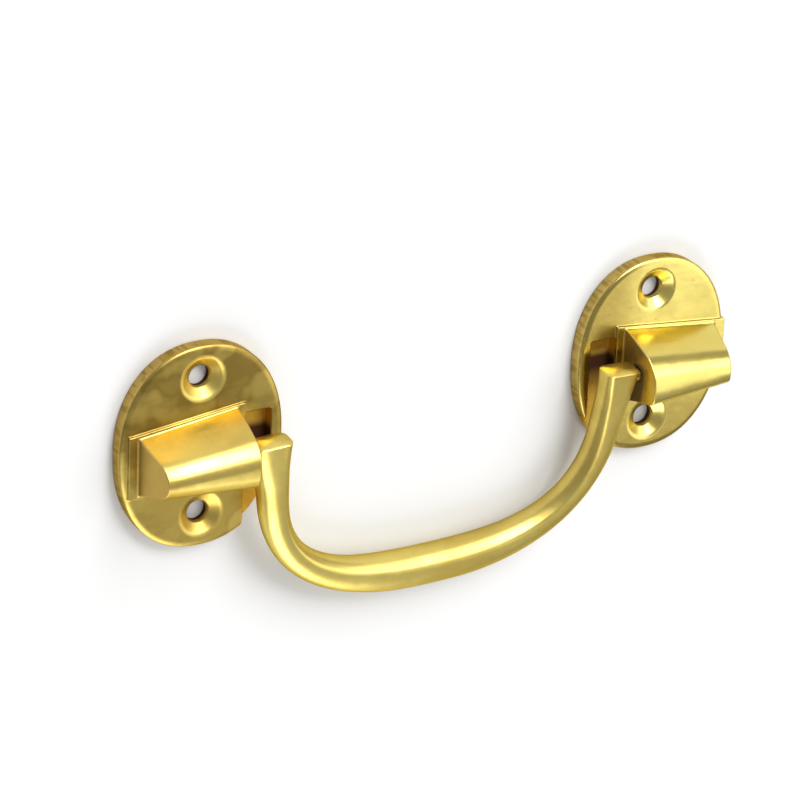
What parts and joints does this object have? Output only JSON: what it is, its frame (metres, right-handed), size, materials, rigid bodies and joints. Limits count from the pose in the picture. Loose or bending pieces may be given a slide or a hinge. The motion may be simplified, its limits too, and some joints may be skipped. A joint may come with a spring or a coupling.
{
  "type": "sash lift handle",
  "caption": "Cast brass sash lift: a bow handle swings on hidden pins between mirrored oval back plates, each with a moulded block and countersunk screw holes.",
  "frame": {"origin": "midway between the two back plates, on the plane that both are screwed to, level with the middle of each pair of screw holes", "axes": "+X along the swing axis, +Y up on the sash, +Z out of the sash; the handle lies on its back"},
  "size_m": [0.1256, 0.0553, 0.0139],
  "materials": {
    "polished_brass": "polished cast brass, lightly linished",
    "pin_metal": "plain drawn rod"
  },
  "bodies": {
    "brackets": {"left_bracket": "polished_brass", "right_bracket": "polished_brass", "left_pivot_pin": "pin_metal", "right_pivot_pin": "pin_metal"},
    "bow": {"bow_handle": "polished_brass"}
  },
  "joints": [
    {"name": "bow_swing", "type": "hinge", "parent": "brackets", "child": "bow", "pos_m": [0, -0.0007, 0.0083], "axis": [-1, 0, 0], "range_deg": [0, 160]}
  ]
}
